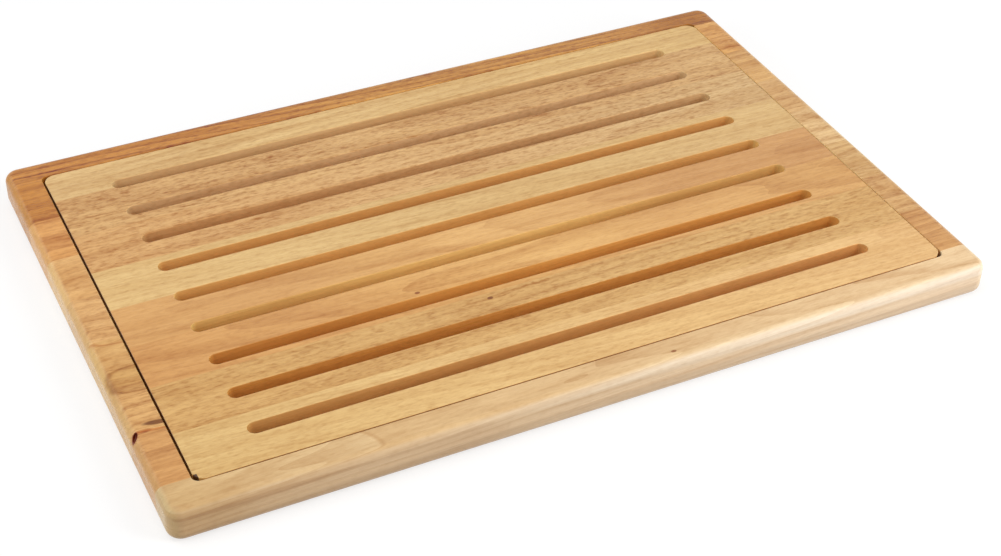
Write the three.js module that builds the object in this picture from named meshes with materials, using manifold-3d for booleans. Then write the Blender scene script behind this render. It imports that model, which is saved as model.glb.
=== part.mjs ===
// A bread board: a shallow wooden tray, milled from an edge-glued panel, that holds a
// lift-out insert with long crumb slots. Crumbs fall through the slots into the tray's well.
// Millimetres, +Z up. The origin is the centre of the underside, +X runs along the long
// side with the grain, and +Y runs to the back.

import * as THREE from 'three';
import { mergeVertices } from 'three/addons/utils/BufferGeometryUtils.js';
import Module from 'manifold-3d';

const wasm = await Module();
wasm.setup();

// Driving dimensions of the tray.
const boardLength = 475;
const boardDepth = 315;
const boardHeight = 20;
const boardCornerRadius = 8;
const topEdgeRadius = 5;
const bottomEdgeRadius = 5;

// The pocket that takes the insert, and the crumb well below it.
const endRailWidth = 18.5;
const longRailWidth = 17.2;
const pocketCornerRadius = 4;
const ledgeWidth = 12;
const floorThickness = 4.5;
const wellCornerRadius = 8;

// The insert, with the play that it has in its pocket.
const insertThickness = 10;
const insertCornerRadius = 7;
const endPlay = 0.65;
const longSidePlay = 0.4;
const seatClearance = 0.3;
const insertShift = 0.3;

// The crumb slots, which run with the grain.
const slotCount = 9;
const slotWidth = 8.5;
const slotEndMargin = 34.85;
const slotSideMargin = 24.3;

// Every sawn edge is eased by this much.
const edgeBreak = 0.5;

// The staves that each panel is glued up from. The outermost tray staves were ripped down,
// and the full ones share what is left. The insert's glue lines are given in slot pitches
// behind the first slot, because each runs either down a slot or well clear of it.
const trayFullStaves = 7;
const trayEdgeStaveWidth = 21;
const insertGlueLineShares = [0.415, 1.715, 2.93, 4.1, 5.335, 6.595, 7.9];

// How far a cutter runs past what it cuts, and how finely arcs are drawn.
const overrun = 2;
const cornerSteps = 8;
const slotEndSteps = 12;
const edgeSteps = 6;

// Beech heartwood and sapwood tones, one for each stave from the front to the back.
const trayTones = [
  '#dbb27c', '#d59c63', '#d7a36a', '#d8a66b', '#daa96f',
  '#dbaa6e', '#d99d61', '#c88c50', '#be8049',
];
const insertTones = [
  '#e2ba7f', '#d9aa6c', '#d49d64', '#d6a269', '#e4be82', '#d8a96f', '#d5a771', '#dcb682',
];
const woodRoughness = 0.62;
const woodMetalness = 0;

// Sizes that follow from the ones above.
const pocketLength = boardLength - 2 * endRailWidth;
const pocketDepth = boardDepth - 2 * longRailWidth;
const wellLength = pocketLength - 2 * ledgeWidth;
const wellDepth = pocketDepth - 2 * ledgeWidth;
const insertLength = pocketLength - 2 * endPlay;
const insertDepth = pocketDepth - 2 * longSidePlay;
const insertBottom = boardHeight - insertThickness;
const ledgeHeight = insertBottom - seatClearance;
const slotLength = insertLength - 2 * slotEndMargin;
const slotPitch = (insertDepth - 2 * slotSideMargin) / (slotCount - 1);
const firstSlotY = -insertDepth / 2 + slotSideMargin;

// Rays along one arc. A ray is the centre of the arc and a direction out of it, so an
// outline can be drawn at any reach from the same rays.
function arcRays(centreX, centreY, startAngle, turn, steps) {
  const rays = [];
  for (let step = 0; step <= steps; step += 1) {
    const angle = startAngle + (turn * step) / steps;
    rays.push({ centreX, centreY, alongX: Math.cos(angle), alongY: Math.sin(angle) });
  }
  return rays;
}

// Rays of a rectangle with rounded corners, anticlockwise from above.
function rectangleRays(length, depth, radius, middleX) {
  const coreX = length / 2 - radius;
  const coreY = depth / 2 - radius;
  const quarter = Math.PI / 2;
  return [
    ...arcRays(middleX + coreX, coreY, 0, quarter, cornerSteps),
    ...arcRays(middleX - coreX, coreY, quarter, quarter, cornerSteps),
    ...arcRays(middleX - coreX, -coreY, 2 * quarter, quarter, cornerSteps),
    ...arcRays(middleX + coreX, -coreY, 3 * quarter, quarter, cornerSteps),
  ];
}

// Rays of a slot with round ends, anticlockwise from above.
function slotRays(length, width, middleX, middleY) {
  const coreX = (length - width) / 2;
  const half = Math.PI;
  return [
    ...arcRays(middleX + coreX, middleY, -half / 2, half, slotEndSteps),
    ...arcRays(middleX - coreX, middleY, half / 2, half, slotEndSteps),
  ];
}

// A closed solid through one outline drawn at each level. A level is a height and the reach
// of the rays there. The flat ends are fans round the middle of the outline.
function stackedSolid(rays, levels) {
  const positions = [];
  for (const level of levels) {
    for (const ray of rays) {
      const x = ray.centreX + ray.alongX * level.reach;
      const y = ray.centreY + ray.alongY * level.reach;
      positions.push(x, y, level.height);
    }
  }
  const count = rays.length;
  const middleX = rays.reduce((sum, ray) => sum + ray.centreX, 0) / count;
  const middleY = rays.reduce((sum, ray) => sum + ray.centreY, 0) / count;
  const bottomMiddle = positions.length / 3;
  const topMiddle = bottomMiddle + 1;
  positions.push(middleX, middleY, levels[0].height);
  positions.push(middleX, middleY, levels[levels.length - 1].height);

  const faces = [];
  const topRing = (levels.length - 1) * count;
  for (let here = 0; here < count; here += 1) {
    const next = (here + 1) % count;
    faces.push(bottomMiddle, next, here);
    faces.push(topMiddle, topRing + here, topRing + next);
    for (let ring = 0; ring < topRing; ring += count) {
      faces.push(ring + here, ring + next, ring + count + next);
      faces.push(ring + here, ring + count + next, ring + count + here);
    }
  }
  const geometry = new THREE.BufferGeometry();
  geometry.setAttribute('position', new THREE.Float32BufferAttribute(positions, 3));
  geometry.setIndex(faces);
  return toSolid(geometry);
}

// A solid from a closed geometry, with vertices shared by position alone.
function toSolid(geometry) {
  geometry.deleteAttribute('normal');
  geometry.deleteAttribute('uv');
  const merged = mergeVertices(geometry);
  return new wasm.Manifold(new wasm.Mesh({
    numProp: 3,
    vertProperties: new Float32Array(merged.attributes.position.array),
    triVerts: new Uint32Array(merged.index.array),
  }));
}

// A named, coloured mesh from a solid.
function toMesh(solid, name, tone) {
  const { vertProperties, triVerts } = solid.getMesh();
  const geometry = new THREE.BufferGeometry();
  geometry.setAttribute('position', new THREE.Float32BufferAttribute(vertProperties, 3));
  geometry.setIndex(Array.from(triVerts));
  geometry.computeVertexNormals();
  const material = new THREE.MeshStandardMaterial({
    color: tone,
    roughness: woodRoughness,
    metalness: woodMetalness,
  });
  const mesh = new THREE.Mesh(geometry, material);
  mesh.name = name;
  return mesh;
}

// Levels of the tray's outside: a rounded lower edge, an upright wall, a rounded upper edge.
function trayLevels() {
  const levels = [];
  for (let step = 0; step <= edgeSteps; step += 1) {
    const angle = (Math.PI / 2) * (step / edgeSteps);
    const drawnIn = bottomEdgeRadius * (1 - Math.sin(angle));
    const height = bottomEdgeRadius * (1 - Math.cos(angle));
    levels.push({ height, reach: boardCornerRadius - drawnIn });
  }
  for (let step = 0; step <= edgeSteps; step += 1) {
    const angle = (Math.PI / 2) * (step / edgeSteps);
    const drawnIn = topEdgeRadius * (1 - Math.cos(angle));
    const height = boardHeight - topEdgeRadius * (1 - Math.sin(angle));
    levels.push({ height, reach: boardCornerRadius - drawnIn });
  }
  return levels;
}

// Levels of a cutter that is upright up to the board's top, where it eases the edge.
function easedCutterLevels(bottom, radius) {
  return [
    { height: bottom, reach: radius },
    { height: boardHeight - edgeBreak, reach: radius },
    { height: boardHeight, reach: radius + edgeBreak },
    { height: boardHeight + overrun, reach: radius + edgeBreak + overrun },
  ];
}

// The whole tray panel: the outside, less the pocket, less the well below its ledge.
function trayPanel() {
  const outside = stackedSolid(
    rectangleRays(boardLength, boardDepth, boardCornerRadius, 0),
    trayLevels(),
  );
  const pocket = stackedSolid(
    rectangleRays(pocketLength, pocketDepth, pocketCornerRadius, 0),
    easedCutterLevels(ledgeHeight, pocketCornerRadius),
  );
  const well = stackedSolid(
    rectangleRays(wellLength, wellDepth, wellCornerRadius, 0),
    [
      { height: floorThickness, reach: wellCornerRadius },
      { height: ledgeHeight + overrun, reach: wellCornerRadius },
    ],
  );
  return outside.subtract(pocket).subtract(well);
}

// The whole insert panel, with its edges eased and its slots cut through.
function insertPanel() {
  const radius = insertCornerRadius;
  let panel = stackedSolid(
    rectangleRays(insertLength, insertDepth, radius, insertShift),
    [
      { height: insertBottom, reach: radius - edgeBreak },
      { height: insertBottom + edgeBreak, reach: radius },
      { height: boardHeight - edgeBreak, reach: radius },
      { height: boardHeight, reach: radius - edgeBreak },
    ],
  );
  for (let slot = 0; slot < slotCount; slot += 1) {
    const middleY = firstSlotY + slot * slotPitch;
    const cutter = stackedSolid(
      slotRays(slotLength, slotWidth, insertShift, middleY),
      easedCutterLevels(insertBottom - overrun, slotWidth / 2),
    );
    panel = panel.subtract(cutter);
  }
  return panel;
}

// The part of a panel between two glue lines, from one Y to another.
function staveOf(panel, fromY, toY) {
  const slabLength = boardLength + 2 * overrun;
  const slabHeight = boardHeight + 2 * overrun;
  const slab = new THREE.BoxGeometry(slabLength, toY - fromY, slabHeight);
  slab.translate(0, (fromY + toY) / 2, boardHeight / 2);
  return panel.intersect(toSolid(slab));
}

// Glue lines of the tray, front to back, with its outer faces as the first and last.
function trayGlueLines() {
  const fullWidth = (boardDepth - 2 * trayEdgeStaveWidth) / trayFullStaves;
  const lines = [-boardDepth / 2];
  for (let stave = 0; stave <= trayFullStaves; stave += 1) {
    lines.push(-boardDepth / 2 + trayEdgeStaveWidth + stave * fullWidth);
  }
  lines.push(boardDepth / 2);
  return lines;
}

// Glue lines of the insert, front to back, with its outer faces as the first and last.
function insertGlueLines() {
  const inner = insertGlueLineShares.map((share) => firstSlotY + share * slotPitch);
  return [-insertDepth / 2, ...inner, insertDepth / 2];
}

// A group of staves, one named mesh each: NAME_stave_front, NAME_stave_2 and so on, to
// NAME_stave_back.
function stavesOf(panel, glueLines, tones, panelName) {
  const group = new THREE.Group();
  const last = glueLines.length - 2;
  for (let stave = 0; stave <= last; stave += 1) {
    const place = stave === 0 ? 'front' : stave === last ? 'back' : String(stave + 1);
    const solid = staveOf(panel, glueLines[stave], glueLines[stave + 1]);
    const tone = tones[stave % tones.length];
    group.add(toMesh(solid, `${panelName}_stave_${place}`, tone));
  }
  return group;
}

const breadBoard = new THREE.Group();
breadBoard.add(stavesOf(trayPanel(), trayGlueLines(), trayTones, 'tray'));
breadBoard.add(stavesOf(insertPanel(), insertGlueLines(), insertTones, 'insert'));

export default breadBoard;
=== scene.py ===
from math import hypot, pi, radians

import bmesh
import bpy
import numpy as np
from mathutils import Matrix, Vector


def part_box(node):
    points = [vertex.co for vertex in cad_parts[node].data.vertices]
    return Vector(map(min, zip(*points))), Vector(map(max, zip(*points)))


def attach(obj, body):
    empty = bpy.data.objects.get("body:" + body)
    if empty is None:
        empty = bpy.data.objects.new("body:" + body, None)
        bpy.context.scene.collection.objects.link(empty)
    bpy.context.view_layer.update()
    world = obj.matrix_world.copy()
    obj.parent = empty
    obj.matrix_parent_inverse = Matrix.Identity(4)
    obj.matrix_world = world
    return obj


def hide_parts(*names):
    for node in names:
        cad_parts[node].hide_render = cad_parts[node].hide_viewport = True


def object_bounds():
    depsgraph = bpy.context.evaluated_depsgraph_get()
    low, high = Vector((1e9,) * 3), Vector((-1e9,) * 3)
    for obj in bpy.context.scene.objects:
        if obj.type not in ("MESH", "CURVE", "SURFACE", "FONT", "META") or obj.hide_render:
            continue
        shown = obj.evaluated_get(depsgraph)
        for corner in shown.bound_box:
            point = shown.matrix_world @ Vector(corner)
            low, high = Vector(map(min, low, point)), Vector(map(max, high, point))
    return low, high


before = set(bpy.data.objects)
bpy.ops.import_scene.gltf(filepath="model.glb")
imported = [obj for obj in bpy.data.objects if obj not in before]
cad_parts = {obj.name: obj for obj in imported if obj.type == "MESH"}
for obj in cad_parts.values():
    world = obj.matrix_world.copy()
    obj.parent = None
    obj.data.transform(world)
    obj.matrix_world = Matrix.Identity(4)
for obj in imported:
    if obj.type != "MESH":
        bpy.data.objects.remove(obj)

# The bread board lies on the floor with its grain along X. Sizes are in millimetres and are
# turned to metres where a mesh is made.
mm = 0.001
mergeDistance = 0.001 * mm    # points closer together than this are one point
sawMargin = 0.01 * mm         # a glue line this close to a panel's edge needs no saw cut
cadLow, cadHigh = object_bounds()
scene = bpy.context.scene
boardHalfX = cadHigh.x / mm
boardHalfY = cadHigh.y / mm
boardHeight = cadHigh.z / mm

trayNodes = sorted(
    (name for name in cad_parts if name.startswith("tray_stave")),
    key=lambda name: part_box(name)[0].y,
)
insertNodes = sorted(
    (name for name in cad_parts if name.startswith("insert_stave")),
    key=lambda name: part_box(name)[0].y,
)


# Camera at the photograph's angle: it looks at a point on the board's top. Angles are in
# degrees.
camera = {
    "target": (-16.34, -56.93, 20.0),
    "distance": 1035.9,
    "azimuth": 26.425,      # from +Y towards +X
    "elevation": 37.644,    # downwards
    "roll": 1.228,
    "lens": 68.17,
    "sensor": 36.0,
    "clipEnd": 50.0,        # in metres
}


def makeCamera():
    data = bpy.data.cameras.new("camera")
    data.lens = camera["lens"]
    data.sensor_width = camera["sensor"]
    data.clip_end = camera["clipEnd"]
    view = bpy.data.objects.new("camera", data)
    turn = (
        Matrix.Rotation(radians(-camera["azimuth"]), 4, "Z")
        @ Matrix.Rotation(radians(90 - camera["elevation"]), 4, "X")
        @ Matrix.Rotation(radians(camera["roll"]), 4, "Z")
    )
    target = Vector(camera["target"]) * mm
    view.matrix_world = Matrix.Translation(target) @ turn
    view.location = target + turn.to_3x3() @ Vector((0, 0, camera["distance"] * mm))
    scene.collection.objects.link(view)
    scene.camera = view


makeCamera()
print("camera placed")


def roundedOutline(halfX, halfY, radius, cornerSteps):
    # The centre of a corner's arc, plus its radius times the cosine and sine of the angle
    # turned through so far. Four quarter arcs run anticlockwise, and each row is one level.
    shape = (len(halfX), 4, cornerSteps + 1)
    quarter = np.arange(4).reshape(1, 4, 1)
    along = np.linspace(0, 1, cornerSteps + 1).reshape(1, 1, -1)
    angle = (quarter + along) * pi / 2
    signX = np.array([1, -1, -1, 1]).reshape(1, 4, 1)
    signY = np.array([1, 1, -1, -1]).reshape(1, 4, 1)
    halfX, halfY, radius = (np.reshape(part, (-1, 1, 1)) for part in (halfX, halfY, radius))
    x = signX * (halfX - radius) + radius * np.cos(angle)
    y = signY * (halfY - radius) + radius * np.sin(angle)
    return np.broadcast_to(x, shape), np.broadcast_to(y, shape)


def ringFaces(rings, pointsRound):
    # Quads from each ring of points to the next, closed round, and a flat face at each end.
    number = np.arange(rings * pointsRound).reshape(rings, pointsRound)
    onward = np.roll(number, -1, axis=1)
    quads = np.stack([number[:-1], onward[:-1], onward[1:], number[1:]], axis=-1)
    return quads.reshape(-1, 4).tolist() + [number[0][::-1].tolist(), number[-1].tolist()]


def stackedSurface(levels, cornerSteps, middle=(0.0, 0.0)):
    # f(u, v): u runs round a rounded rectangle and v from level to level. A level is a half
    # length, a half depth, a corner radius and a height. The first and last are closed flat.
    halfX, halfY, radius, height = np.array(levels, dtype=float).T
    x, y = roundedOutline(halfX, halfY, radius, cornerSteps)
    z = np.broadcast_to(height.reshape(-1, 1, 1), x.shape)
    points = np.stack([x + middle[0], y + middle[1], z], axis=-1) * mm
    return points.reshape(-1, 3), ringFaces(len(levels), 4 * (cornerSteps + 1))


def quarterRound(radius, steps):
    # Both legs of a quarter circle, for an angle from 0 to 90 degrees: the radius times one less
    # the sine, which falls to 0, and the radius times one less the cosine, which rises from 0.
    turn = np.linspace(0, pi / 2, steps + 1)
    return radius * (1 - np.sin(turn)), radius * (1 - np.cos(turn))


def meshOf(name, surfaces):
    # One mesh from one or more closed surfaces, with doubled points merged.
    points, faces, start = [], [], 0
    for part, partFaces in surfaces:
        points.append(part)
        faces.extend([[start + corner for corner in face] for face in partFaces])
        start += len(part)
    mesh = bpy.data.meshes.new(name)
    mesh.from_pydata(np.concatenate(points), [], faces)
    shell = bmesh.new()
    shell.from_mesh(mesh)
    bmesh.ops.remove_doubles(shell, verts=shell.verts, dist=mergeDistance)
    bmesh.ops.recalc_face_normals(shell, faces=shell.faces)
    shell.to_mesh(mesh)
    shell.free()
    return mesh


# The tray: one panel with a rim, a pocket for the insert, a ledge that carries it and a well.
trayShape = {
    "cornerRadius": 8.0,
    "topEdgeRadius": 5.0,
    "bottomEdgeRadius": 5.0,
    "endRail": 18.5,
    "longRail": 17.2,
    "pocketCornerRadius": 4.0,
    "ledgeWidth": 12.0,
    "ledgeHeight": 9.7,
    "wellCornerRadius": 8.0,
    "floorHeight": 4.5,
    "wellCove": 1.2,
    "easedEdge": 0.5,
    "holdingStrip": 0.4,   # a narrow flat strip beside each round edge, which keeps its shading
    "edgeSteps": 10,
    "easedSteps": 4,
    "cornerSteps": 16,
}


def trayLevels():
    # Across the edge of the tray, from under it, over the rim and down to the well's floor.
    shape = trayShape
    bottomIn, bottomUp = quarterRound(shape["bottomEdgeRadius"], shape["edgeSteps"])
    topDown, topIn = quarterRound(shape["topEdgeRadius"], shape["edgeSteps"])
    easedOut, easedDown = quarterRound(shape["easedEdge"], shape["easedSteps"])
    coveUp, coveIn = quarterRound(shape["wellCove"], shape["easedSteps"])
    strip = shape["holdingStrip"]
    outer = (boardHalfX, boardHalfY, shape["cornerRadius"])
    pocket = (
        boardHalfX - shape["endRail"],
        boardHalfY - shape["longRail"],
        shape["pocketCornerRadius"],
    )
    ledge = shape["ledgeWidth"]
    well = (pocket[0] - ledge, pocket[1] - ledge, shape["wellCornerRadius"])

    def levels(outline, inset, height):
        inset, height = np.broadcast_arrays(inset, height)
        halfX, halfY, radius = outline
        return list(zip(halfX - inset, halfY - inset, radius - inset, height))

    ledgeHeight, floor = shape["ledgeHeight"], shape["floorHeight"]
    return (
        levels(outer, [shape["bottomEdgeRadius"] + strip], 0.0)
        + levels(outer, bottomIn, bottomUp)
        + levels(outer, topIn, boardHeight - topDown)
        + levels(outer, [shape["topEdgeRadius"] + strip], boardHeight)
        + levels(pocket, [-shape["easedEdge"] - strip], boardHeight)
        + levels(pocket, -easedOut, boardHeight - easedDown)
        + levels(pocket, [0.0], ledgeHeight)
        + levels(well, [-shape["easedEdge"] - strip], ledgeHeight)
        + levels(well, -easedOut, ledgeHeight - easedDown)
        + levels(well, coveIn, floor + coveUp)
        + levels(well, [shape["wellCove"] + strip], floor)
    )


# The insert: one panel with eased edges and long slots with round ends.
insertShape = {
    "cornerRadius": 7.0,
    "easedEdge": 0.5,
    "slotCount": 9,
    "slotWidth": 8.5,
    "slotEndMargin": 34.85,
    "slotSideMargin": 24.3,
    "holdingStrip": 0.4,
    "cutterOverrun": 2.0,
    "easedSteps": 4,
    "cornerSteps": 12,
    "slotEndSteps": 10,
}


def insertBox():
    lows = [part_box(node)[0] for node in insertNodes]
    highs = [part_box(node)[1] for node in insertNodes]
    low = Vector([min(corner[axis] for corner in lows) for axis in range(3)]) / mm
    high = Vector([max(corner[axis] for corner in highs) for axis in range(3)]) / mm
    return low, high


def insertLevels():
    # Across the edge of the insert, from under it to its top, with an eased arris at each.
    shape = insertShape
    low, high = insertBox()
    falling, rising = quarterRound(shape["easedEdge"], shape["easedSteps"])
    flat = [shape["easedEdge"] + shape["holdingStrip"]]
    inset = np.concatenate([flat, falling, rising, flat])
    height = np.concatenate([[low.z], low.z + rising, high.z - falling, [high.z]])
    halfX, halfY = (high.x - low.x) / 2, (high.y - low.y) / 2
    return list(zip(halfX - inset, halfY - inset, shape["cornerRadius"] - inset, height))


def slotSurface(slot):
    # One cutter: upright through the panel, and flared at each face by a quarter round.
    shape = insertShape
    low, high = insertBox()
    falling, rising = quarterRound(shape["easedEdge"], shape["easedSteps"])
    widest, overrun = [shape["easedEdge"]], shape["cutterOverrun"]
    flare = np.concatenate([widest, falling, rising, widest])
    height = np.concatenate([
        [low.z - overrun], low.z + rising, high.z - falling, [high.z + overrun],
    ])
    halfX = (high.x - low.x) / 2 - shape["slotEndMargin"]
    halfY = shape["slotWidth"] / 2
    pitch = (high.y - low.y - 2 * shape["slotSideMargin"]) / (shape["slotCount"] - 1)
    middle = ((low.x + high.x) / 2, low.y + shape["slotSideMargin"] + slot * pitch)
    levels = list(zip(halfX + flare, halfY + flare, halfY + flare, height))
    return stackedSurface(levels, shape["slotEndSteps"], middle)


def cutFrom(panelMesh, cutterMesh):
    # What is left of a panel once a cutter's solids are taken out of it.
    panel = bpy.data.objects.new(panelMesh.name, panelMesh)
    cutter = bpy.data.objects.new(cutterMesh.name, cutterMesh)
    scene.collection.objects.link(panel)
    scene.collection.objects.link(cutter)
    cut = panel.modifiers.new("cut", "BOOLEAN")
    cut.operation = "DIFFERENCE"
    cut.solver = "EXACT"
    cut.object = cutter
    bpy.context.view_layer.update()
    whole = panel.evaluated_get(bpy.context.evaluated_depsgraph_get())
    mesh = bpy.data.meshes.new_from_object(whole)
    bpy.data.objects.remove(panel)
    bpy.data.objects.remove(cutter)
    return mesh


def slottedPanel():
    low, high = insertBox()
    middle = ((low.x + high.x) / 2, (low.y + high.y) / 2)
    surface = stackedSurface(insertLevels(), insertShape["cornerSteps"], middle)
    cutters = [slotSurface(slot) for slot in range(insertShape["slotCount"])]
    return cutFrom(meshOf("insertPanel", [surface]), meshOf("slotCutter", cutters))


# The bark pocket: a small pit of bark that the tree grew round, open on the round left edge.
barkPit = {
    "place": (-235.1, -97.6, 19.3),
    "half": (1.25, 3.1, 2.1),
    "turn": -27.0,      # about the upright axis, in degrees
    "steps": (16, 8),   # round it, and from pole to pole
    "panelCuts": 5.0,   # how far before and behind it the panel's long faces are divided
}


def pitSurface():
    # f(u, v): a ball, with u round the upright axis and v from pole to pole, stretched by the
    # half sizes and turned about the upright axis.
    around, upward = barkPit["steps"]
    u = np.linspace(0, 2 * pi, around, endpoint=False).reshape(1, -1)
    v = np.linspace(-pi / 2, pi / 2, upward + 1)[1:-1].reshape(-1, 1)
    halfX, halfY, halfZ = barkPit["half"]
    x = halfX * np.cos(v) * np.cos(u)
    y = halfY * np.cos(v) * np.sin(u)
    z = np.broadcast_to(halfZ * np.sin(v), x.shape)
    turn = radians(barkPit["turn"])
    turnedX = x * np.cos(turn) - y * np.sin(turn)
    turnedY = x * np.sin(turn) + y * np.cos(turn)
    points = (np.stack([turnedX, turnedY, z], axis=-1) + np.array(barkPit["place"])) * mm
    return points.reshape(-1, 3), ringFaces(upward - 1, around)


def divideAt(solid, lineY, outward=1, cutAway=False):
    # Divides the faces along the upright plane at this Y, in metres. What lies outwards of it,
    # towards +Y for 1 and -Y for -1, may be cut away.
    everything = solid.verts[:] + solid.edges[:] + solid.faces[:]
    bmesh.ops.bisect_plane(
        solid, geom=everything, dist=mergeDistance,
        plane_co=(0, lineY, 0), plane_no=(0, outward, 0), clear_outer=cutAway,
    )


def pittedPanel():
    # The panel is divided on both sides of the pit, so that only short faces end at its rim.
    panel = meshOf("trayPanel", [stackedSurface(trayLevels(), trayShape["cornerSteps"])])
    divided = bmesh.new()
    divided.from_mesh(panel)
    for side in (-1, 1):
        divideAt(divided, (barkPit["place"][1] + side * barkPit["panelCuts"]) * mm)
    divided.to_mesh(panel)
    divided.free()
    return cutFrom(panel, meshOf("pitCutter", [pitSurface()]))


def sawStave(panel, node):
    # The part of a panel between two glue lines. Each sawn face is filled flat.
    low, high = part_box(node)
    panelY = [corner.co.y for corner in panel.vertices]
    stave = bmesh.new()
    stave.from_mesh(panel)
    for glueLine, outward in ((low.y, -1), (high.y, 1)):
        if min(panelY) + sawMargin < glueLine < max(panelY) - sawMargin:
            divideAt(stave, glueLine, outward, cutAway=True)
            rim = [edge for edge in stave.edges if edge.is_boundary]
            bmesh.ops.holes_fill(stave, edges=rim, sides=0)
    bmesh.ops.recalc_face_normals(stave, faces=stave.faces)
    mesh = bpy.data.meshes.new(node + "_wood")
    stave.to_mesh(mesh)
    stave.free()
    return mesh


sharpAngle = radians(40)    # edges that turn more than this stay sharp


def finishStave(mesh, node, body):
    # A stave takes the place of its CAD node, on the same body, with its own wood.
    mesh.polygons.foreach_set("use_smooth", np.ones(len(mesh.polygons), dtype=bool))
    mesh.set_sharp_from_angle(angle=sharpAngle)
    piece = bpy.data.objects.new(mesh.name, mesh)
    scene.collection.objects.link(piece)
    shading = piece.modifiers.new("shading", "WEIGHTED_NORMAL")
    shading.keep_sharp = True
    piece.data.materials.append(staveMaterial(node))
    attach(piece, body)
    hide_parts(node)


def linear(hexText):
    # sRGB hex to linear light: the standard curve, with its straight toe.
    shares = [int(hexText[start:start + 2], 16) / 255 for start in (1, 3, 5)]
    curve = [
        part / 12.92 if part <= 0.04045 else ((part + 0.055) / 1.055) ** 2.4
        for part in shares
    ]
    return (*curve, 1.0)


def addNode(tree, kind, inputs=None, **settings):
    # Adds a node. A socket, by its name or number, is given a value, an output or another node.
    node = tree.nodes.new(kind)
    for name, value in settings.items():
        setattr(node, name, value)
    for key, value in (inputs or {}).items():
        named = (each for each in node.inputs if each.enabled and each.name == key)
        socket = node.inputs[key] if isinstance(key, int) else next(named)
        if isinstance(value, bpy.types.Node):
            value = next(each for each in value.outputs if each.enabled)
        if isinstance(value, bpy.types.NodeSocket):
            tree.links.new(value, socket)
        else:
            socket.default_value = value
    return node


# Beech, sawn from a straight trunk, sanded and oiled. Each layer of its figure has its lengths
# in millimetres along the grain, outwards across the year rings and round them, the noise
# values between which it fades in, and how much it darkens. strength names the value of a
# stave's look that scales it.
figureLayers = [
    {"size": (420.0, 2.4, 60.0), "fade": (0.42, 0.68), "depth": 0.30, "strength": "rings"},
    {"size": (190.0, 4.0, 5.0), "fade": (0.40, 0.68), "depth": 0.28, "strength": "streaks"},
    {"size": (60.0, 1.2, 1.6), "fade": (0.42, 0.72), "depth": 0.22, "strength": "streaks"},
    {"size": (110.0, 24.0, 26.0), "fade": (0.34, 0.66), "depth": 0.22, "strength": "clouds"},
    {"size": (5.6, 3.2, 1.25), "fade": (0.44, 0.70), "depth": 0.40, "strength": "flecks"},
    {"size": (3.0, 1.6, 0.7), "fade": (0.40, 0.70), "depth": 0.18, "strength": "flecks"},
    {"size": (22.0, 0.5, 0.5), "fade": (0.25, 0.75), "depth": 0.14, "strength": "fibres"},
]

# The wood's own values, the same in every stave. Lengths are in millimetres. paleBy and deepBy
# turn a stave's tone into its lightest and its deepest wood, in linear light. The seeds and
# their spreads only move the noise, so that no two staves and no two layers share a pattern.
beech = {
    "paleBy": (1.16, 1.24, 1.36, 1.0),
    "deepBy": (0.70, 0.56, 0.42, 1.0),
    "middleDepth": 0.57,
    "staveSeed": 7.3,
    "layerSeed": 3.1,
    "noiseSpread": (1.0, 1.7, 2.3),
    "spindleSpread": (1.0, 0.7, 1.3),
    "noiseDetail": 2.0,
    "slowDetail": 1.0,
    "wander": (320.0, 70.0),
    "wanderBy": 7.0,
    "ringDepth": 0.42,
    "ringWaver": (240.0, 16.0, 34.0),
    "ringWaverBy": 3.0,          # in rings
    "lateWood": (0.45, 1.0),     # the part of a ring over which it darkens
    "spindle": (5.4, 6.5, 1.5),  # one ray fleck to a cell of this size
    "spindleReach": 0.38,        # in cells
    "spindleCore": 0.3,          # the share of its reach that has its full depth
    "spindleDepth": 0.30,
    "rayWidth": 0.7,
    "rayNoise": (0.3, 0.7),
    "rayFade": (0.94, 1.04),     # what a ray line on a cut end multiplies the wood by
    "endFacing": (0.15, 0.65),   # how far a face looks along the grain as its end figure fades in
    "endFigure": 0.25,           # how much of the figure shows on the cut ends
    "endTone": (0.96, 1.02, 1.02, 1.0),
    "roughness": (0.27, 0.38),
    "gloss": 0.38,
    "relief": 0.05,
    "reliefStrength": 0.6,
}

# What differs from stave to stave: its tone, its tone at the right end, where the tree's heart
# lies from the stave's middle, how that line tilts along the board, how wide the year rings are
# and how much each layer shows. heart and ring are in millimetres. contrast spreads the whole
# figure round its middle depth. The wall tone multiplies the upright faces: partly their own
# tint, partly painted shade and painted light for how they are lit. wallFigure is how much of
# the figure shows there. wallFacing is how far a face looks up or down where the top's own tone
# takes over, and endWall is how much of the wall tone shows on the cut ends. The tone at the
# right end is partly the wood's own change and partly painted light and shade, for how much
# light falls towards that end.
plainLook = {
    "heart": (0.0, -45.0), "tilt": (0.03, 0.02), "ring": 3.6, "rings": 0.5, "streaks": 0.6,
    "clouds": 0.6, "flecks": 0.6, "fibres": 1.0, "contrast": 1.6,
    "wallToneAndShading": (1.0, 1.0, 1.0, 1.0), "wallFigure": 1.0, "wallFacing": (0.3, 0.8),
    "endWall": 1.0, "marks": [], "gapShadeMarks": [],
}
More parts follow.
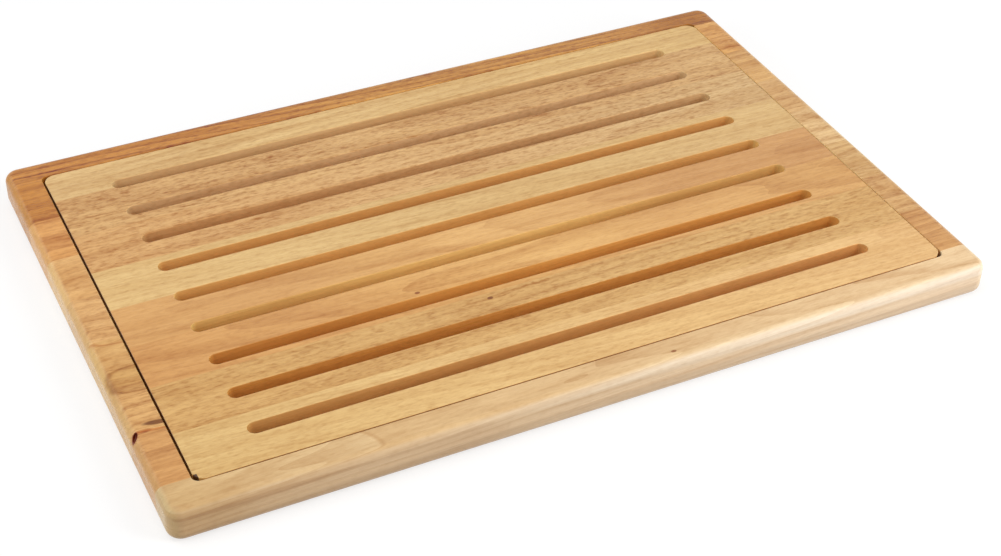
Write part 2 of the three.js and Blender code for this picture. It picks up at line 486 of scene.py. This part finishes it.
# The insert's wood is more even. Its upright faces, the slot walls above all, are warmer and
# plainer: partly because routed walls drink more oil, and partly as painted shade and painted
# light for how deep in the slots they lie and how they are lit.
insertLook = {
    "contrast": 1.0, "wallToneAndShading": (0.95, 0.80, 0.56, 1.0), "wallFigure": 0.45,
    "gapShadeMarks": ["leftGapShade"],
}
staveLooks = {
    "tray_stave_front": {
        "tone": "#d3aa71", "farTone": "#ebc693", "heart": (3.0, -30.0), "tilt": (0.045, -0.02),
        "ring": 4.4, "rings": 0.6, "flecks": 0.3, "streaks": 0.5, "contrast": 1.1,
        # Its face and most of its round edge are paler and bluer: painted light for the front
        # lamp's glow and sheen.
        "wallToneAndShading": (0.966, 1.023, 1.23, 1.0), "wallFigure": 0.7, "wallFacing": (0.6, 0.95),
        "endWall": 0.4,
        "marks": ["frontFaceShade", "frontLeftShade", "frontRightShade", "frontFootShade", "frontCrestHighlight", "flameFill",
                  "flameLine", "flameEdge", "rimPin"],
    },
    "tray_stave_2": {
        "tone": "#cb9152", "farTone": "#c89053", "heart": (-12.0, -50.0), "flecks": 0.3,
        "streaks": 0.8, "contrast": 1.9,
        "marks": ["pocketSmudge", "barkPocket"],
    },
    "tray_stave_3": {
        "tone": "#d5a05f", "farTone": "#d5a568", "heart": (14.0, -36.0), "tilt": (-0.04, 0.03),
        "rings": 0.8,
        "marks": ["tongueShade", "tongueLine", "pocketLine", "pocketStreak", "pocketSmudge",
                  "barkPocket"],
    },
    "tray_stave_4": {
        "tone": "#dba864", "farTone": "#dcb173", "heart": (0.0, -28.0), "tilt": (0.06, 0.02),
        "rings": 0.8, "contrast": 1.2,
        "marks": ["arcLine", "tongueShade", "tongueLine"],
    },
    "tray_stave_5": {"tone": "#d8a363", "farTone": "#e0b67b", "heart": (20.0, -60.0)},
    "tray_stave_6": {
        "tone": "#e3ae6a", "farTone": "#d8a96c", "heart": (8.0, -40.0), "tilt": (0.02, -0.04),
        "contrast": 1.3,
    },
    "tray_stave_7": {
        "tone": "#dc9c54", "farTone": "#d8a562", "heart": (-6.0, -42.0), "rings": 0.7,
        "streaks": 0.8, "contrast": 1.3,
    },
    "tray_stave_8": {
        "tone": "#c37e2d", "farTone": "#e0a65c", "heart": (0.0, -55.0), "streaks": 0.9,
        "clouds": 1.0, "contrast": 1.6,
    },
    "tray_stave_back": {
        "tone": "#c17d31", "farTone": "#bd7b2f", "heart": (30.0, -30.0), "streaks": 0.9,
        "rings": 0.7, "contrast": 2.0, "marks": ["backPale", "backEnd"],
    },
    "insert_stave_front": {
        "tone": "#dfb774", "farTone": "#e9bb7b", "heart": (25.0, -70.0), "flecks": 0.6,
        "rings": 0.3, "wallToneAndShading": (0.93, 0.74, 0.58, 1.0),
        "marks": ["frontGapShade", "leftCornerShade", "rightCornerShade"],
    },
    "insert_stave_2": {
        "tone": "#d7a763", "farTone": "#dcaf6d", "heart": (-20.0, -48.0), "flecks": 1.0,
        "wallToneAndShading": (0.99, 0.73, 0.46, 1.0), "marks": ["nearPin"],
    },
    "insert_stave_3": {
        "tone": "#d69c59", "farTone": "#daa562", "heart": (8.0, -36.0), "flecks": 0.5,
        "rings": 0.7, "wallToneAndShading": (1.02, 0.86, 0.60, 1.0), "marks": ["paleBand", "middlePin"],
    },
    "insert_stave_4": {
        "tone": "#daa360", "farTone": "#cf985b", "heart": (0.0, -62.0), "flecks": 0.45,
        "wallToneAndShading": (1.21, 1.38, 1.29, 1.0), "marks": ["paleBand"],
    },
    "insert_stave_5": {
        "tone": "#e2ba78", "farTone": "#dcb475", "heart": (30.0, -60.0), "flecks": 0.6,
        "rings": 0.3, "wallToneAndShading": (1.02, 0.82, 0.63, 1.0),
    },
    "insert_stave_6": {
        "tone": "#dda968", "farTone": "#dab278", "heart": (-16.0, -50.0), "flecks": 1.2,
        "wallToneAndShading": (0.97, 0.92, 0.97, 1.0),
    },
    "insert_stave_7": {
        "tone": "#d7a667", "farTone": "#d4a669", "heart": (10.0, -44.0), "flecks": 1.1,
        "contrast": 1.3, "wallToneAndShading": (1.09, 1.16, 1.47, 1.0),
    },
    "insert_stave_back": {
        "tone": "#e1b97a", "farTone": "#e3bb77", "heart": (-30.0, -66.0), "flecks": 0.7,
        "wallToneAndShading": (1.02, 0.98, 1.09, 1.0),
    },
}

# Marks on the wood, each multiplying its colour where its mask is 1. Knots, pins and figure lines
# are marks the wood grew with, and some patches are lighter or darker in tone. Others are painted
# light: painted shade in the gaps at the insert's left end and front, painted shade on the front
# rail's face, foot and ends, and a painted highlight along its crest. Each has its place and half
# sizes in millimetres, its turn in degrees, what it multiplies the wood by, how square its
# outline is, how soft, how wavering and in how fine waves. outline is 1 where only the outline
# shows, and lineWidth is then how far in its inner side begins, as a multiple of its softness.
plainMark = {
    "turn": 0.0, "power": 2.0, "soft": 0.35, "waver": 0.12, "waves": 2.0, "outline": 0.0,
    "lineWidth": 3.0,
}
woodMarks = {
    "barkPocket": {
        "place": (-235.1, -97.6, 18.5), "half": (1.5, 3.5, 5.0), "tone": (0.32, 0.09, 0.01, 1),
        "turn": -27.0, "soft": 0.3,
    },
    "pocketSmudge": {
        "place": (-231.0, -95.6, 19.0), "half": (5.5, 1.6, 5.0), "tone": (0.74, 0.54, 0.36, 1),
        "turn": 4.0, "soft": 0.6,
    },
    "pocketLine": {
        "place": (-225.5, -96.2, 19.0), "half": (9.0, 0.9, 5.0), "tone": (0.82, 0.56, 0.34, 1),
        "turn": -6.0, "soft": 0.5,
    },
    "pocketStreak": {
        "place": (-221.5, -91.6, 19.0), "half": (7.5, 1.7, 5.0), "tone": (0.28, 0.16, 0.04, 1),
        "turn": -7.0, "soft": 0.5,
    },
    "tongueShade": {
        "place": (-224.0, -55.0, 19.0), "half": (12.5, 9.5, 40.0), "tone": (0.90, 0.87, 0.78, 1),
        "power": 4.0, "soft": 0.5,
    },
    "tongueLine": {
        "place": (-212.0, -55.0, 20.0), "half": (24.5, 10.8, 40.0), "tone": (0.68, 0.54, 0.36, 1),
        "power": 4.0, "soft": 0.2, "outline": 1.0,
    },
    "arcLine": {
        "place": (-214.0, -16.5, 20.0), "half": (23.0, 8.4, 40.0), "tone": (0.80, 0.62, 0.46, 1),
        "power": 3.0, "soft": 0.16, "outline": 1.0,
    },
    # Painted shade: the left half of the front rail's face is darkened, as if less light fell
    # there.
    "frontFaceShade": {
        "place": (-190.0, -158.0, 8.0), "half": (128.0, 7.0, 10.5), "tone": (0.91, 0.88, 0.86, 1),
        "power": 4.0, "soft": 0.5,
    },
    # Painted shade: the low part of the front rail's face, which looks down at the floor, is
    # darkened.
    "frontFootShade": {
        "place": (60.0, -157.5, 3.0), "half": (330.0, 7.0, 5.5), "tone": (0.86, 0.86, 0.87, 1),
        "soft": 0.5, "waver": 0.05,
    },
    # Painted highlight: the front rail's round edge is made paler and bluer, most on the right,
    # like a lamp's sheen.
    "frontCrestHighlight": {
        "place": (150.0, -157.5, 17.3), "half": (200.0, 5.0, 3.8), "tone": (1.12, 1.25, 1.46, 1),
        "soft": 0.8, "waver": 0.05,
    },
    # Painted shade: the left end of the front rail, top and face, is darkened.
    "frontLeftShade": {
        "place": (-240.0, -155.0, 12.0), "half": (42.0, 24.0, 16.0), "tone": (0.91, 0.87, 0.80, 1),
        "soft": 0.6,
    },
    # Painted shade: the right end of the front rail is darkened a little.
    "frontRightShade": {
        "place": (242.0, -155.0, 12.0), "half": (45.0, 26.0, 16.0), "tone": (0.95, 0.94, 0.94, 1),
        "soft": 0.6,
    },
    "flameFill": {
        "place": (-238.0, -154.0, 20.0), "half": (111.5, 38.3, 2.0), "tone": (1.08, 1.15, 1.25, 1),
        "soft": 0.05, "waver": 0.02,
    },
    "flameLine": {
        "place": (-238.0, -154.0, 20.0), "half": (113.0, 39.5, 2.1), "tone": (0.86, 0.78, 0.70, 1),
        "soft": 0.02, "waver": 0.02, "outline": 1.0,
    },
    "flameEdge": {
        "place": (-190.0, -156.6, 14.9), "half": (58.0, 2.4, 1.6), "tone": (0.85, 0.77, 0.69, 1),
        "soft": 0.5,
    },
    "backPale": {
        "place": (60.0, 150.0, 20.0), "half": (115.0, 60.0, 40.0), "tone": (1.08, 1.22, 1.50, 1),
        "soft": 0.9,
    },
    "backEnd": {
        "place": (240.0, 150.0, 20.0), "half": (45.0, 60.0, 40.0), "tone": (0.78, 0.67, 0.24, 1),
        "soft": 0.7,
    },
    "paleBand": {
        "place": (-10.0, -5.0, 20.0), "half": (90.0, 80.0, 40.0), "tone": (1.13, 1.22, 1.26, 1),
        "soft": 0.9,
    },
    # Painted shade: the top of the insert's left end, in the gap beside the tray, is painted near
    # black.
    "leftGapShade": {
        "place": (-218.5, 0.0, 19.35), "half": (0.76, 135.0, 1.5), "tone": (0.10, 0.05, 0.03, 1),
        "power": 8.0, "soft": 0.3, "waver": 0.0,
    },
    # Painted shade: a near-black spot at the top of the insert's front left corner, in the gap.
    "leftCornerShade": {
        "place": (-217.3, -137.4, 18.5), "half": (1.5, 2.4, 1.6), "tone": (0.10, 0.06, 0.04, 1),
        "power": 8.0, "soft": 0.3, "waver": 0.0,
    },
    # Painted shade: a near-black spot at the top of the insert's front right corner, in the gap.
    "rightCornerShade": {
        "place": (216.9, -138.1, 18.3), "half": (2.0, 2.0, 1.6), "tone": (0.10, 0.06, 0.04, 1),
        "power": 8.0, "soft": 0.3, "waver": 0.0,
    },
    # Painted shade: a dark line along the top of the insert's front edge, in the gap beside the
    # tray.
    "frontGapShade": {
        "place": (0.3, -140.15, 19.0), "half": (212.0, 0.45, 1.4), "tone": (0.50, 0.36, 0.24, 1),
        "power": 8.0, "soft": 0.3, "waver": 0.0,
    },
    "rimPin": {
        "place": (39.0, -150.6, 20.0), "half": (1.6, 0.9, 3.0), "tone": (0.5, 0.32, 0.22, 1),
    },
    "nearPin": {
        "place": (-29.0, -70.5, 20.0), "half": (1.7, 1.1, 3.0), "tone": (0.4, 0.24, 0.16, 1),
    },
    "middlePin": {
        "place": (-63.0, -50.2, 20.0), "half": (1.5, 1.0, 3.0), "tone": (0.45, 0.28, 0.18, 1),
    },
}


def grainPlace(tree, look, objectPlace, middle):
    # The place in the board in millimetres, and the place in the tree: along the grain,
    # outwards from the heart and round it. A slow wander keeps lines from running dead straight.
    place = addNode(
        tree, "ShaderNodeVectorMath", {0: objectPlace, "Scale": 1 / mm}, operation="SCALE")
    length, width = beech["wander"]
    stretched = addNode(tree, "ShaderNodeMapping", {
        "Vector": place, "Location": (look["seed"],) * 3,
        "Scale": (1 / length, 1 / width, 1 / width),
    })
    drift = addNode(tree, "ShaderNodeTexNoise", {
        "Vector": stretched, "Scale": 1.0, "Detail": beech["slowDetail"],
    })
    by = beech["wanderBy"]
    shift = addNode(tree, "ShaderNodeVectorMath", {
        0: drift.outputs["Color"], 1: (0, by, by), 2: (0, -by / 2, -by / 2),
    }, operation="MULTIPLY_ADD")
    wandered = addNode(tree, "ShaderNodeVectorMath", {0: place, 1: shift}, operation="ADD")

    acrossY, acrossZ = look["heart"]
    fromHeart = addNode(tree, "ShaderNodeMapping", {
        "Vector": wandered, "Location": (0, -middle.y - acrossY, -middle.z - acrossZ),
        "Rotation": (0, *look["tilt"]),
    })
    section = addNode(tree, "ShaderNodeVectorMath", {
        0: fromHeart, 1: (0, 1, 1),
    }, operation="MULTIPLY")
    outwards = addNode(tree, "ShaderNodeVectorMath", {0: section}, operation="LENGTH")
    parts = addNode(tree, "ShaderNodeSeparateXYZ", {0: fromHeart})
    angle = addNode(tree, "ShaderNodeMath", {
        0: parts.outputs["Y"], 1: parts.outputs["Z"],
    }, operation="ARCTAN2")
    around = addNode(tree, "ShaderNodeMath", {
        0: angle, 1: hypot(acrossY, acrossZ),
    }, operation="MULTIPLY")
    treePlace = addNode(tree, "ShaderNodeCombineXYZ", {
        "X": parts.outputs["X"], "Y": outwards, "Z": around,
    })
    return place, treePlace, outwards, around


def stretchedNoise(tree, treePlace, size, seed):
    # Noise whose patches have this size in millimetres along, outwards and round the tree.
    stretched = addNode(tree, "ShaderNodeMapping", {
        "Vector": treePlace, "Location": [seed * share for share in beech["noiseSpread"]],
        "Scale": [1 / length for length in size],
    })
    return addNode(tree, "ShaderNodeTexNoise", {
        "Vector": stretched, "Scale": 1.0, "Detail": beech["noiseDetail"],
    })


def yearRings(tree, look, treePlace, outwards):
    # Each ring darkens slowly outwards and ends at a line: the part left over when the distance
    # from the heart, in rings, is cut to whole ones. Noise makes some rings wide, some narrow.
    waver = stretchedNoise(tree, treePlace, beech["ringWaver"], look["seed"])
    count = addNode(tree, "ShaderNodeMath", {0: outwards, 1: look["ring"]}, operation="DIVIDE")
    count = addNode(tree, "ShaderNodeMath", {
        0: waver, 1: beech["ringWaverBy"], 2: count,
    }, operation="MULTIPLY_ADD")
    partRing = addNode(tree, "ShaderNodeMath", {0: count}, operation="FRACT")
    return addNode(tree, "ShaderNodeMapRange", {
        "Value": partRing, "From Min": beech["lateWood"][0], "From Max": beech["lateWood"][1],
    }, interpolation_type="SMOOTHSTEP")


def rayFlecks(tree, treePlace, seed):
    # Cut rays: short spindles on a flat-sawn face and wider flakes on a quarter-sawn one. There
    # is one to a cell, each with its own darkness.
    stretched = addNode(tree, "ShaderNodeMapping", {
        "Vector": treePlace, "Location": [seed * share for share in beech["spindleSpread"]],
        "Scale": [1 / length for length in beech["spindle"]],
    })
    cells = addNode(tree, "ShaderNodeTexVoronoi", {"Vector": stretched, "Scale": 1.0})
    reach = beech["spindleReach"]
    shape = addNode(tree, "ShaderNodeMapRange", {
        "Value": cells.outputs["Distance"],
        "From Min": reach * beech["spindleCore"], "From Max": reach,
        "To Min": 1.0, "To Max": 0.0,
    }, interpolation_type="SMOOTHSTEP")
    return addNode(tree, "ShaderNodeMath", {
        0: shape, 1: cells.outputs["Color"],
    }, operation="MULTIPLY")


def markMask(tree, mark, place):
    # Its outline is where the powers of the three shares of its half sizes add up to 1: an
    # ellipse at power 2, and squarer above that.
    local = addNode(tree, "ShaderNodeMapping", {
        "Vector": place, "Location": mark["place"], "Scale": mark["half"],
        "Rotation": (0, 0, radians(mark["turn"])),
    }, vector_type="TEXTURE")
    waver = addNode(tree, "ShaderNodeTexNoise", {"Vector": local, "Scale": mark["waves"]})
    by = mark["waver"]
    shift = addNode(tree, "ShaderNodeVectorMath", {
        0: waver.outputs["Color"], 1: (by, by, by), 2: (-by / 2,) * 3,
    }, operation="MULTIPLY_ADD")
    moved = addNode(tree, "ShaderNodeVectorMath", {0: local, 1: shift}, operation="ADD")
    share = addNode(tree, "ShaderNodeVectorMath", {0: moved}, operation="ABSOLUTE")
    share = addNode(tree, "ShaderNodeVectorMath", {
        0: share, 1: (mark["power"],) * 3,
    }, operation="POWER")
    total = addNode(tree, "ShaderNodeVectorMath", {
        0: share, 1: (1, 1, 1),
    }, operation="DOT_PRODUCT")
    inside = addNode(tree, "ShaderNodeMapRange", {
        "Value": total, "From Min": 1 - mark["soft"], "From Max": 1 + mark["soft"],
        "To Min": 1.0, "To Max": 0.0,
    }, interpolation_type="SMOOTHSTEP")
    hollow = addNode(tree, "ShaderNodeMapRange", {
        "Value": total,
        "From Min": 1 - mark["lineWidth"] * mark["soft"], "From Max": 1 - mark["soft"],
        "To Min": 1 - mark["outline"], "To Max": 1.0,
    }, interpolation_type="SMOOTHSTEP")
    return addNode(tree, "ShaderNodeMath", {0: inside, 1: hollow}, operation="MULTIPLY")


def tinted(tree, colour, tone, where):
    # The colour multiplied by a tone where a mask is 1.
    changed = addNode(tree, "ShaderNodeMix", {
        "Factor": 1.0, "A": colour, "B": tone,
    }, data_type="RGBA", blend_type="MULTIPLY")
    return addNode(tree, "ShaderNodeMix", {
        "Factor": where, "A": colour, "B": changed,
    }, data_type="RGBA")


def facingMask(tree, normal, axis, low, high):
    # How far a face looks along an axis, either way, from 0 to 1.
    parts = addNode(tree, "ShaderNodeSeparateXYZ", {0: normal})
    facing = addNode(tree, "ShaderNodeMath", {0: parts.outputs[axis]}, operation="ABSOLUTE")
    return addNode(tree, "ShaderNodeMapRange", {
        "Value": facing, "From Min": low, "From Max": high,
    }, interpolation_type="SMOOTHSTEP")


def figureDepth(tree, look, treePlace, outwards):
    # How dark the figure is: the rings, the layers and the rays added up, and then spread round
    # their middle by the stave's contrast. The layers' masks and the rays come with it.
    depth = addNode(tree, "ShaderNodeMath", {
        0: yearRings(tree, look, treePlace, outwards), 1: beech["ringDepth"] * look["rings"],
    }, operation="MULTIPLY")
    masks = []
    for number, layer in enumerate(figureLayers):
        seed = look["seed"] + beech["layerSeed"] * number
        masks.append(addNode(tree, "ShaderNodeMapRange", {
            "Value": stretchedNoise(tree, treePlace, layer["size"], seed),
            "From Min": layer["fade"][0], "From Max": layer["fade"][1],
        }, interpolation_type="SMOOTHSTEP"))
        depth = addNode(tree, "ShaderNodeMath", {
            0: masks[-1], 1: layer["depth"] * look[layer["strength"]], 2: depth,
        }, operation="MULTIPLY_ADD")
    flecks = rayFlecks(tree, treePlace, look["seed"])
    depth = addNode(tree, "ShaderNodeMath", {
        0: flecks, 1: beech["spindleDepth"] * look["flecks"], 2: depth,
    }, operation="MULTIPLY_ADD")
    depth = addNode(tree, "ShaderNodeMath", {
        0: depth, 1: look["contrast"], 2: beech["middleDepth"] * (1 - look["contrast"]),
    }, operation="MULTIPLY_ADD")
    return depth, masks, flecks


def staveMaterial(node):
    # Sanded beech under a thin coat of oil: a satin surface on warm, lightly figured wood.
    number = 1 + (trayNodes + insertNodes).index(node)
    look = dict(plainLook, seed=beech["staveSeed"] * number)
    if node in insertNodes:
        look.update(insertLook)
    look.update(staveLooks[node])
    low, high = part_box(node)
    material = bpy.data.materials.new("oiledBeech_" + node)
    material.use_nodes = True
    tree = material.node_tree
    tree.nodes.clear()
    coordinates = addNode(tree, "ShaderNodeTexCoord")
    normal = coordinates.outputs["Normal"]
    place, treePlace, outwards, around = grainPlace(
        tree, look, coordinates.outputs["Object"], (low + high) / 2 / mm)
    depth, masks, flecks = figureDepth(tree, look, treePlace, outwards)
    streaks, fineFlecks, fibres = masks[1], masks[-2], masks[-1]

    # The cut ends and the upright faces show less of the figure.
    cutEnd = facingMask(tree, normal, "X", *beech["endFacing"])
    level = facingMask(tree, normal, "Z", *look["wallFacing"])
    for where, onLow, onHigh in (
        (cutEnd, 1.0, beech["endFigure"]),
        (level, look["wallFigure"], 1.0),
    ):
        shown = addNode(tree, "ShaderNodeMapRange", {
            "Value": where, "To Min": onLow, "To Max": onHigh,
        })
        depth = addNode(tree, "ShaderNodeMath", {0: depth, 1: shown}, operation="MULTIPLY")
    shade = addNode(tree, "ShaderNodeMix", {
        "Factor": depth, "A": beech["paleBy"], "B": beech["deepBy"],
    }, data_type="RGBA", clamp_factor=False)
    # The tone runs from the left end to the right: partly the wood's own change, partly painted
    # light and shade for how much light falls towards each end.
    along = addNode(tree, "ShaderNodeSeparateXYZ", {0: place})
    along = addNode(tree, "ShaderNodeMapRange", {
        "Value": along.outputs["X"], "From Min": low.x / mm, "From Max": high.x / mm,
    })
    tone = addNode(tree, "ShaderNodeMix", {
        "Factor": along, "A": linear(look["tone"]), "B": linear(look["farTone"]),
    }, data_type="RGBA")
    colour = tinted(tree, tone, shade, 1.0)

    # The cut ends show the rays as fine lines out from the heart.
    rays = addNode(tree, "ShaderNodeTexNoise", {
        "W": around, "Scale": 1 / beech["rayWidth"], "Detail": beech["slowDetail"],
    }, noise_dimensions="1D")
    rayShade = addNode(tree, "ShaderNodeMapRange", {
        "Value": rays, "From Min": beech["rayNoise"][0], "From Max": beech["rayNoise"][1],
        "To Min": beech["rayFade"][0], "To Max": beech["rayFade"][1],
    })
    endColour = addNode(tree, "ShaderNodeVectorMath", {
        0: tinted(tree, colour, beech["endTone"], 1.0), "Scale": rayShade,
    }, operation="SCALE")
    colour = addNode(tree, "ShaderNodeMix", {
        "Factor": cutEnd, "A": colour, "B": endColour,
    }, data_type="RGBA")
    # The upright faces take the wall tone: partly their own tint, partly painted shade and painted
    # light.
    upright = addNode(tree, "ShaderNodeMath", {0: 1.0, 1: level}, operation="SUBTRACT")
    onEnds = addNode(tree, "ShaderNodeMapRange", {
        "Value": cutEnd, "To Min": 1.0, "To Max": look["endWall"],
    })
    upright = addNode(tree, "ShaderNodeMath", {0: upright, 1: onEnds}, operation="MULTIPLY")
    colour = tinted(tree, colour, look["wallToneAndShading"], upright)
    # The stave's marks, some the wood's own and some painted light, then the painted shade of its
    # gaps.
    for name in look["marks"] + look["gapShadeMarks"]:
        mark = dict(plainMark, **woodMarks[name])
        colour = tinted(tree, colour, mark["tone"], markMask(tree, mark, place))

    # Flecks and fibres stand a few hundredths of a millimetre below the sanded face.
    relief = addNode(tree, "ShaderNodeMath", {0: fibres, 1: fineFlecks}, operation="ADD")
    relief = addNode(tree, "ShaderNodeMath", {0: relief, 1: flecks}, operation="ADD")
    bump = addNode(tree, "ShaderNodeBump", {
        "Strength": beech["reliefStrength"], "Distance": beech["relief"] * mm, "Height": relief,
    }, invert=True)
    roughness = addNode(tree, "ShaderNodeMapRange", {
        "Value": streaks, "To Min": beech["roughness"][0], "To Max": beech["roughness"][1],
    })
    shader = addNode(tree, "ShaderNodeBsdfPrincipled", {
        "Base Color": colour, "Roughness": roughness, "Normal": bump,
        "Specular IOR Level": beech["gloss"],
    })
    addNode(tree, "ShaderNodeOutputMaterial", {"Surface": shader})
    return material


for body, makePanel, nodes in (
    ("tray", pittedPanel, trayNodes),
    ("insert", slottedPanel, insertNodes),
):
    panel = makePanel()
    for node in nodes:
        finishStave(sawStave(panel, node), node, body)
    bpy.data.meshes.remove(panel)
    print(body, "sawn into", len(nodes), "staves")


# A pale floor that keeps the shadow, under soft studio light. Places and sizes are in metres
# and powers in watts.
studio = {
    "floorSize": 12.0,
    "floorDrop": 0.0001,
    "floorTone": 0.66,      # what the floor throws back at the board
    "seenTone": 0.36,       # what is seen of it, besides the glow
    "seenGlow": 0.68,
    "skyStrength": 0.37,
    "topLight": {
        "place": (-0.5, 0.15, 1.8), "aim": (-0.1, 0, 0), "size": (1.4, 1.4), "power": 9.5,
    },
    "frontLight": {
        "place": (0.93, -0.95, 0.62), "aim": (0.15, -0.1, 0), "size": (0.6, 1.4), "power": 15.0,
        "shine": 0.2,       # the share that shows in the gloss too, so a low view has no glare
    },
    "leftLight": {
        "place": (-1.3, -0.1, 0.7), "aim": (-0.1, 0, 0), "size": (0.9, 0.5), "power": 5.6,
        "shine": 0.3,
    },
    "backLight": {
        "place": (-0.9, 1.2, 0.9), "aim": (0, 0, 0), "size": (0.8, 0.8), "power": 2.0,
    },
}


def seenDirectly(tree):
    # 1 for rays from the camera, from gloss and through clear things, and 0 for the rest.
    ray = addNode(tree, "ShaderNodeLightPath")
    seen = ray.outputs["Is Camera Ray"]
    for kind in ("Is Glossy Ray", "Is Transmission Ray"):
        seen = addNode(tree, "ShaderNodeMath", {
            0: seen, 1: ray.outputs[kind],
        }, operation="MAXIMUM")
    return seen


def makeFloor():
    half, drop = studio["floorSize"] / 2, studio["floorDrop"]
    signs = ((-1, -1), (1, -1), (1, 1), (-1, 1))
    corners = [(signX * half, signY * half, -drop) for signX, signY in signs]
    mesh = bpy.data.meshes.new("floor")
    mesh.from_pydata(corners, [], [(0, 1, 2, 3)])
    floor = bpy.data.objects.new("floor", mesh)
    scene.collection.objects.link(floor)
    material = bpy.data.materials.new("matteWhiteFloor")
    material.use_nodes = True
    tree = material.node_tree
    tree.nodes.clear()
    seen = seenDirectly(tree)
    glow = addNode(tree, "ShaderNodeMath", {0: seen, 1: studio["seenGlow"]}, operation="MULTIPLY")
    white = addNode(tree, "ShaderNodeMapRange", {
        "Value": seen, "To Min": studio["floorTone"], "To Max": studio["seenTone"],
    })
    shadowed = addNode(tree, "ShaderNodeBsdfDiffuse", {"Color": white})
    bright = addNode(tree, "ShaderNodeEmission", {"Strength": glow})
    both = addNode(tree, "ShaderNodeAddShader", {0: shadowed, 1: bright})
    addNode(tree, "ShaderNodeOutputMaterial", {"Surface": both})
    mesh.materials.append(material)


def makeWorld():
    world = bpy.data.worlds.new("studio")
    world.use_nodes = True
    scene.world = world
    tree = world.node_tree
    tree.nodes.clear()
    strength = addNode(tree, "ShaderNodeMapRange", {
        "Value": seenDirectly(tree), "To Min": studio["skyStrength"], "To Max": 1.0,
    })
    sky = addNode(tree, "ShaderNodeBackground", {"Color": (1, 1, 1, 1), "Strength": strength})
    addNode(tree, "ShaderNodeOutputWorld", {"Surface": sky})


def makeLight(name):
    # One lamp, or two in the same place where only a share of the power shows in the gloss.
    light = studio[name]
    aim = Vector(light["aim"]) - Vector(light["place"])
    shine = light.get("shine", 1.0)
    for share, glossy in ((shine, True), (1.0 - shine, False)):
        if share > 0.0:
            data = bpy.data.lights.new(name, "AREA")
            data.shape = "RECTANGLE"
            data.size, data.size_y = light["size"]
            data.energy = light["power"] * share
            lamp = bpy.data.objects.new(name, data)
            lamp.location = light["place"]
            lamp.rotation_euler = aim.to_track_quat("-Z", "Y").to_euler()
            lamp.visible_glossy = glossy
            scene.collection.objects.link(lamp)


makeFloor()
makeWorld()
for name in ("topLight", "frontLight", "leftLight", "backLight"):
    makeLight(name)
scene.view_settings.view_transform = "Standard"
print("studio lit")
